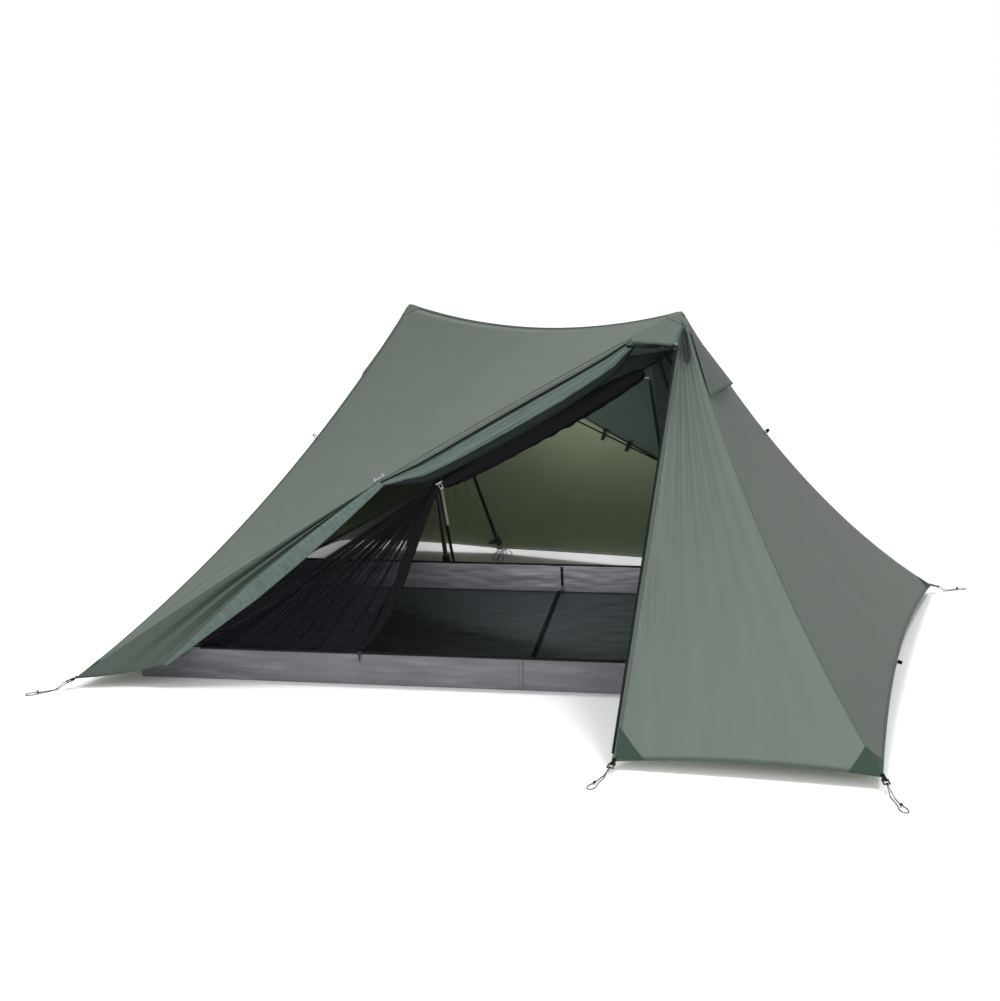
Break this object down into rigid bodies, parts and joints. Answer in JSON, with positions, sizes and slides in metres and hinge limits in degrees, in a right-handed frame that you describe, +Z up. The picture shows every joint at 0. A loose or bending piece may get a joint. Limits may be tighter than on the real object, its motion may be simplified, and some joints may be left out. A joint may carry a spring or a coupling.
{
  "type": "trekking pole tent",
  "caption": "Two-peak shelter on trekking poles, with a fly door rolled open over a mesh inner tent, zipped doors, hooded vents, cord locks and stake cords.",
  "frame": {"origin": "on the ground at the centre of the tent's footprint", "axes": "+X along the long front side to the right, +Y from front to rear, +Z up"},
  "size_m": [2.7892, 2.4516, 1.1701],
  "materials": {
    "fly_fabric": "coated ripstop, matt outside with a slight sheen",
    "door_fabric": "the fly fabric's paler inner side, rolled",
    "reinforcement": "heavier dark fabric with webbing",
    "inner_mesh": "fine insect mesh",
    "bathtub_fabric": "coated floor fabric, satin",
    "floor_fabric": "coated floor fabric, satin",
    "cord": "braided cord and webbing",
    "black_plastic": "moulded plastic",
    "toggle": "moulded plastic",
    "pole_alloy": "anodised tube"
  },
  "bodies": {
    "tent": {"fly_main_panel_front": "fly_fabric", "fly_main_panel_rear": "fly_fabric", "fly_end_panel_right": "fly_fabric", "fly_end_panel_left": "fly_fabric", "fly_vestibule_front": "fly_fabric", "fly_vestibule_rear": "fly_fabric", "fly_door_rear": "fly_fabric", "peak_cap_right": "fly_fabric", "peak_cap_left": "fly_fabric", "fly_door_front": "door_fabric", "reinforcement_front_right": "reinforcement", "reinforcement_rear_left": "reinforcement", "reinforcement_rear_right": "reinforcement", "reinforcement_front_left": "reinforcement", "reinforcement_base_front": "reinforcement", "reinforcement_base_rear": "reinforcement", "inner_roof_front": "inner_mesh", "inner_roof_rear": "inner_mesh", "inner_end_right": "inner_mesh", "inner_end_left": "inner_mesh", "inner_door_rear": "inner_mesh", "inner_door_front": "inner_mesh", "inner_bathtub_walls": "bathtub_fabric", "inner_floor": "floor_fabric", "stake_cord_front_right": "cord", "stake_cord_rear_right": "cord", "stake_cord_front_left": "cord", "stake_cord_base_front": "cord", "stake_cord_base_rear": "cord", "guyline_hank": "cord", "inner_hanger_right": "cord", "inner_hanger_left": "cord", "cord_lock_front_right": "black_plastic", "cord_lock_rear_left": "black_plastic", "cord_lock_rear_right": "black_plastic", "cord_lock_front_left": "black_plastic", "cord_lock_base_front": "black_plastic", "cord_lock_base_rear": "black_plastic", "fly_zip_tape_front": "black_plastic", "fly_zip_tape_rear": "black_plastic", "inner_zip_front": "black_plastic", "inner_zip_rear": "black_plastic", "fly_door_toggles_front": "toggle", "inner_door_toggle": "toggle", "pole_lower_shaft_front": "pole_alloy", "pole_lower_shaft_rear": "pole_alloy"},
    "fly_slider_front": {"fly_zip_slider_front": "toggle"},
    "fly_slider_rear": {"fly_zip_slider_rear": "toggle"},
    "inner_slider_front": {"inner_zip_slider_front": "black_plastic"},
    "inner_slider_rear": {"inner_zip_slider_rear": "black_plastic"},
    "vent_right": {"vent_hood_right": "fly_fabric"},
    "vent_left": {"vent_hood_left": "fly_fabric"},
    "strut_right": {"vent_strut_right": "black_plastic"},
    "strut_left": {"vent_strut_left": "black_plastic"},
    "pole_upper_front": {"pole_upper_tube_front": "pole_alloy", "pole_grip_front": "black_plastic"},
    "pole_upper_rear": {"pole_upper_tube_rear": "pole_alloy", "pole_grip_rear": "black_plastic"},
    "lever_front": {"pole_lock_lever_front": "black_plastic"},
    "lever_rear": {"pole_lock_lever_rear": "black_plastic"}
  },
  "joints": [
    {"name": "fly_slider_front_slide", "type": "slide", "parent": "tent", "child": "fly_slider_front", "axis": [0.0315, -0.6566, -0.7536], "range_m": [0, 1.33]},
    {"name": "fly_slider_rear_slide", "type": "slide", "parent": "tent", "child": "fly_slider_rear", "axis": [0.0315, -0.6566, 0.7536], "range_m": [0, 1.33]},
    {"name": "inner_slider_front_slide", "type": "slide", "parent": "tent", "child": "inner_slider_front", "axis": [0.9799, 0.1994, 0], "range_m": [0, 0.92]},
    {"name": "inner_slider_rear_slide", "type": "slide", "parent": "tent", "child": "inner_slider_rear", "axis": [0.9799, 0.1994, 0], "range_m": [0, 1.43]},
    {"name": "vent_right_hinge", "type": "hinge", "parent": "tent", "child": "vent_right", "pos_m": [0.54523, -0.06303, 1.10173], "axis": [0.0149, 0.9997, -0.0204], "range_deg": [0, 9]},
    {"name": "vent_left_hinge", "type": "hinge", "parent": "tent", "child": "vent_left", "pos_m": [-0.54523, 0.06303, 1.10173], "axis": [-0.0149, -0.9997, -0.0204], "range_deg": [0, 9]},
    {"name": "strut_right_fold", "type": "hinge", "parent": "tent", "child": "strut_right", "pos_m": [0.6391, -0.06833, 0.91021], "axis": [0.0149, 0.9997, -0.0204], "range_deg": [0, 93]},
    {"name": "strut_left_fold", "type": "hinge", "parent": "tent", "child": "strut_left", "pos_m": [-0.6391, 0.06833, 0.91021], "axis": [-0.0149, -0.9997, -0.0204], "range_deg": [0, 93]},
    {"name": "pole_front_slide", "type": "slide", "parent": "tent", "child": "pole_upper_front", "axis": [-0.0583, 0.3884, 0.9196], "range_m": [0, 0.35]},
    {"name": "pole_rear_slide", "type": "slide", "parent": "tent", "child": "pole_upper_rear", "axis": [0.0583, -0.3884, 0.9196], "range_m": [0, 0.35]},
    {"name": "lever_front_hinge", "type": "hinge", "parent": "pole_upper_front", "child": "lever_front", "pos_m": [0.561, -0.26283, 0.69674], "axis": [0.1834, -0.9014, 0.3923], "range_deg": [0, 110]},
    {"name": "lever_rear_hinge", "type": "hinge", "parent": "pole_upper_rear", "child": "lever_rear", "pos_m": [-0.561, 0.26283, 0.69674], "axis": [-0.1834, 0.9014, 0.3923], "range_deg": [0, 110]}
  ],
  "couplings": [
    {"joint": "strut_right_fold", "follows": "vent_right_hinge", "ratio": 10.2},
    {"joint": "strut_left_fold", "follows": "vent_left_hinge", "ratio": 10.2}
  ]
}
